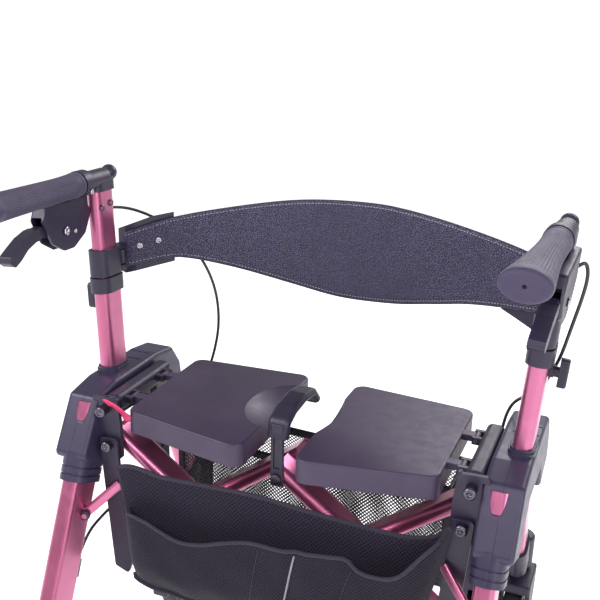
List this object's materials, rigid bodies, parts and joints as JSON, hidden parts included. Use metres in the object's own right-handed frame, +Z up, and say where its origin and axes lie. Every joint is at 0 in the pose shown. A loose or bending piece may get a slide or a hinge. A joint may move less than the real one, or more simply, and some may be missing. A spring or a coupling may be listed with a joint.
{
  "type": "rollator walker",
  "caption": "Folding rollator walker: arched plastic side housings on flat-oval legs with wheels, double cross brace, split seat, strap backrest, telescopic handles with brake levers.",
  "frame": {"origin": "on the floor under the middle of the walker", "axes": "+Z up, +Y forwards in the walking direction, +X to the user's right"},
  "size_m": [0.6931, 0.67, 0.8581],
  "materials": {
    "anodised_rose": "satin anodised",
    "black_plastic": "fine moulded texture",
    "seat_plastic": "satin moulded",
    "grip_rubber": "ribbed soft rubber",
    "tyre_rubber": "matt",
    "hub_plastic": "moulded",
    "bare_steel": "zinc plated",
    "strap_leatherette": "pebbled",
    "bag_mesh": "woven spacer mesh",
    "cable_hose": "smooth"
  },
  "bodies": {
    "side_left": {"rear_leg_left": "anodised_rose", "front_leg_left": "anodised_rose", "sleeve_tube_left": "anodised_rose", "housing_outer_left": "black_plastic", "housing_inner_left": "black_plastic", "seat_rail_left": "black_plastic", "side_stay_left": "anodised_rose", "wheel_brackets_left": "black_plastic", "clamp_collars_left": "black_plastic", "side_fasteners_left": "bare_steel", "brake_cable_left": "cable_hose", "storage_bags": "bag_mesh"},
    "side_right": {"rear_leg_right": "anodised_rose", "front_leg_right": "anodised_rose", "sleeve_tube_right": "anodised_rose", "housing_outer_right": "black_plastic", "housing_inner_right": "black_plastic", "seat_rail_right": "black_plastic", "side_stay_right": "anodised_rose", "wheel_brackets_right": "black_plastic", "clamp_collars_right": "black_plastic", "side_fasteners_right": "bare_steel", "brake_cable_right": "cable_hose"},
    "brace_a": {"brace_tube_a": "anodised_rose"},
    "brace_b": {"brace_tube_b": "anodised_rose", "brace_bolts_left": "bare_steel"},
    "brace_c": {"brace_tube_c": "anodised_rose", "brace_bolts_right": "bare_steel"},
    "brace_d": {"brace_tube_d": "anodised_rose"},
    "centre_handle": {"pull_handle": "black_plastic"},
    "seat_half_left": {"seat_left": "seat_plastic"},
    "strap_half_left": {"backrest_strap_left": "strap_leatherette", "backrest_bracket_left": "black_plastic"},
    "post_unit_left": {"post_left": "anodised_rose", "handle_bar_left": "black_plastic", "grip_left": "grip_rubber", "brake_body_left": "black_plastic"},
    "lever_left": {"brake_lever_left": "black_plastic"},
    "knob_left": {"height_knob_left": "black_plastic"},
    "shoe_left": {"brake_shoe_left": "black_plastic"},
    "rear_wheel_left": {"rear_hub_left": "hub_plastic", "rear_tyre_left": "tyre_rubber"},
    "caster_left": {"caster_fork_left": "black_plastic"},
    "front_wheel_left": {"front_hub_left": "hub_plastic", "front_tyre_left": "tyre_rubber"},
    "seat_half_right": {"seat_right": "seat_plastic"},
    "strap_half_right": {"backrest_strap_right": "strap_leatherette", "backrest_bracket_right": "black_plastic"},
    "post_unit_right": {"post_right": "anodised_rose", "handle_bar_right": "black_plastic", "grip_right": "grip_rubber", "brake_body_right": "black_plastic"},
    "lever_right": {"brake_lever_right": "black_plastic"},
    "knob_right": {"height_knob_right": "black_plastic"},
    "shoe_right": {"brake_shoe_right": "black_plastic"},
    "rear_wheel_right": {"rear_hub_right": "hub_plastic", "rear_tyre_right": "tyre_rubber"},
    "caster_right": {"caster_fork_right": "black_plastic"},
    "front_wheel_right": {"front_hub_right": "hub_plastic", "front_tyre_right": "tyre_rubber"}
  },
  "joints": [
    {"name": "fold", "type": "hinge", "parent": "side_left", "child": "brace_a", "pos_m": [-0.25, -0.025, 0.4845], "axis": [0, 1, 0], "range_deg": [0, 38.5], "deforming": ["storage_bags", "backrest_strap_left", "backrest_strap_right"]},
    {"name": "fold_b", "type": "hinge", "parent": "brace_a", "child": "brace_b", "pos_m": [-0.125, 0, 0.392], "axis": [0, 1, 0], "range_deg": [-77, 0]},
    {"name": "fold_c", "type": "hinge", "parent": "brace_b", "child": "brace_c", "pos_m": [0, 0, 0.4845], "axis": [0, 1, 0], "range_deg": [0, 77]},
    {"name": "fold_d", "type": "hinge", "parent": "brace_c", "child": "brace_d", "pos_m": [0.125, 0, 0.392], "axis": [0, 1, 0], "range_deg": [-77, 0]},
    {"name": "fold_side", "type": "hinge", "parent": "brace_d", "child": "side_right", "pos_m": [0.25, 0, 0.4845], "axis": [0, 1, 0], "range_deg": [0, 38.5]},
    {"name": "fold_handle", "type": "hinge", "parent": "brace_b", "child": "centre_handle", "pos_m": [0, -0.05, 0.4845], "axis": [0, 1, 0], "range_deg": [0, 38.5]},
    {"name": "seat_fold_left", "type": "hinge", "parent": "side_left", "child": "seat_half_left", "pos_m": [-0.236, 0.02, 0.5405], "axis": [0, 1, 0], "range_deg": [-90, 0]},
    {"name": "seat_fold_right", "type": "hinge", "parent": "side_right", "child": "seat_half_right", "pos_m": [0.236, 0.02, 0.5405], "axis": [0, 1, 0], "range_deg": [0, 90]},
    {"name": "strap_fold_left", "type": "hinge", "parent": "side_left", "child": "strap_half_left", "pos_m": [-0.30493, 0.06599, 0.7172], "axis": [-0.0628, 0.0348, 0.9974], "range_deg": [0, 46.03]},
    {"name": "height_left", "type": "slide", "parent": "side_left", "child": "post_unit_left", "axis": [-0.0628, 0.0348, 0.9974], "range_m": [0, 0.125], "deforming": ["brake_cable_left"]},
    {"name": "lever_squeeze_left", "type": "hinge", "parent": "post_unit_left", "child": "lever_left", "pos_m": [-0.31131, -0.04864, 0.78003], "axis": [0.9976, 0.0301, 0.0622], "range_deg": [-6, 0], "stiffness_Nm_per_rad": 3},
    {"name": "knob_turn_left", "type": "hinge", "parent": "side_left", "child": "knob_left", "pos_m": [-0.33148, 0.03356, 0.66252], "axis": [-0.998, -0.0022, -0.0628], "continuous": true},
    {"name": "brake_shoe_turn_left", "type": "hinge", "parent": "side_left", "child": "shoe_left", "pos_m": [-0.289, -0.1501, 0.1849], "axis": [1, 0, 0], "range_deg": [-3, 0]},
    {"name": "rear_wheel_spin_left", "type": "hinge", "parent": "side_left", "child": "rear_wheel_left", "pos_m": [-0.289, -0.235, 0.1], "axis": [1, 0, 0], "continuous": true},
    {"name": "caster_swivel_left", "type": "hinge", "parent": "side_left", "child": "caster_left", "pos_m": [-0.289, 0.27, 0.24], "axis": [0, 0, 1], "continuous": true},
    {"name": "front_wheel_spin_left", "type": "hinge", "parent": "caster_left", "child": "front_wheel_left", "pos_m": [-0.289, 0.235, 0.1], "axis": [1, 0, 0], "continuous": true},
    {"name": "strap_fold_right", "type": "hinge", "parent": "side_right", "child": "strap_half_right", "pos_m": [0.30493, 0.06599, 0.7172], "axis": [0.0628, 0.0348, 0.9974], "range_deg": [-46.03, 0]},
    {"name": "height_right", "type": "slide", "parent": "side_right", "child": "post_unit_right", "axis": [0.0628, 0.0348, 0.9974], "range_m": [0, 0.125], "deforming": ["brake_cable_right"]},
    {"name": "lever_squeeze_right", "type": "hinge", "parent": "post_unit_right", "child": "lever_right", "pos_m": [0.31131, -0.04864, 0.78003], "axis": [0.9976, -0.0301, -0.0622], "range_deg": [-6, 0], "stiffness_Nm_per_rad": 3},
    {"name": "knob_turn_right", "type": "hinge", "parent": "side_right", "child": "knob_right", "pos_m": [0.33148, 0.03356, 0.66252], "axis": [0.998, -0.0022, -0.0628], "continuous": true},
    {"name": "brake_shoe_turn_right", "type": "hinge", "parent": "side_right", "child": "shoe_right", "pos_m": [0.289, -0.1501, 0.1849], "axis": [1, 0, 0], "range_deg": [-3, 0]},
    {"name": "rear_wheel_spin_right", "type": "hinge", "parent": "side_right", "child": "rear_wheel_right", "pos_m": [0.289, -0.235, 0.1], "axis": [1, 0, 0], "continuous": true},
    {"name": "caster_swivel_right", "type": "hinge", "parent": "side_right", "child": "caster_right", "pos_m": [0.289, 0.27, 0.24], "axis": [0, 0, 1], "continuous": true},
    {"name": "front_wheel_spin_right", "type": "hinge", "parent": "caster_right", "child": "front_wheel_right", "pos_m": [0.289, 0.235, 0.1], "axis": [1, 0, 0], "continuous": true}
  ],
  "couplings": [
    {"joint": "fold_b", "follows": "fold", "ratio": -2},
    {"joint": "fold_c", "follows": "fold", "ratio": 2},
    {"joint": "fold_d", "follows": "fold", "ratio": -2},
    {"joint": "fold_side", "follows": "fold", "ratio": 1},
    {"joint": "fold_handle", "follows": "fold", "ratio": 1},
    {"joint": "seat_fold_left", "follows": "fold", "ratio": -2.3377},
    {"joint": "seat_fold_right", "follows": "fold", "ratio": 2.3377},
    {"joint": "strap_fold_left", "follows": "fold", "ratio": 1.1956},
    {"joint": "brake_shoe_turn_left", "follows": "lever_squeeze_left", "ratio": 0.5},
    {"joint": "strap_fold_right", "follows": "fold", "ratio": -1.1956},
    {"joint": "brake_shoe_turn_right", "follows": "lever_squeeze_right", "ratio": 0.5}
  ]
}
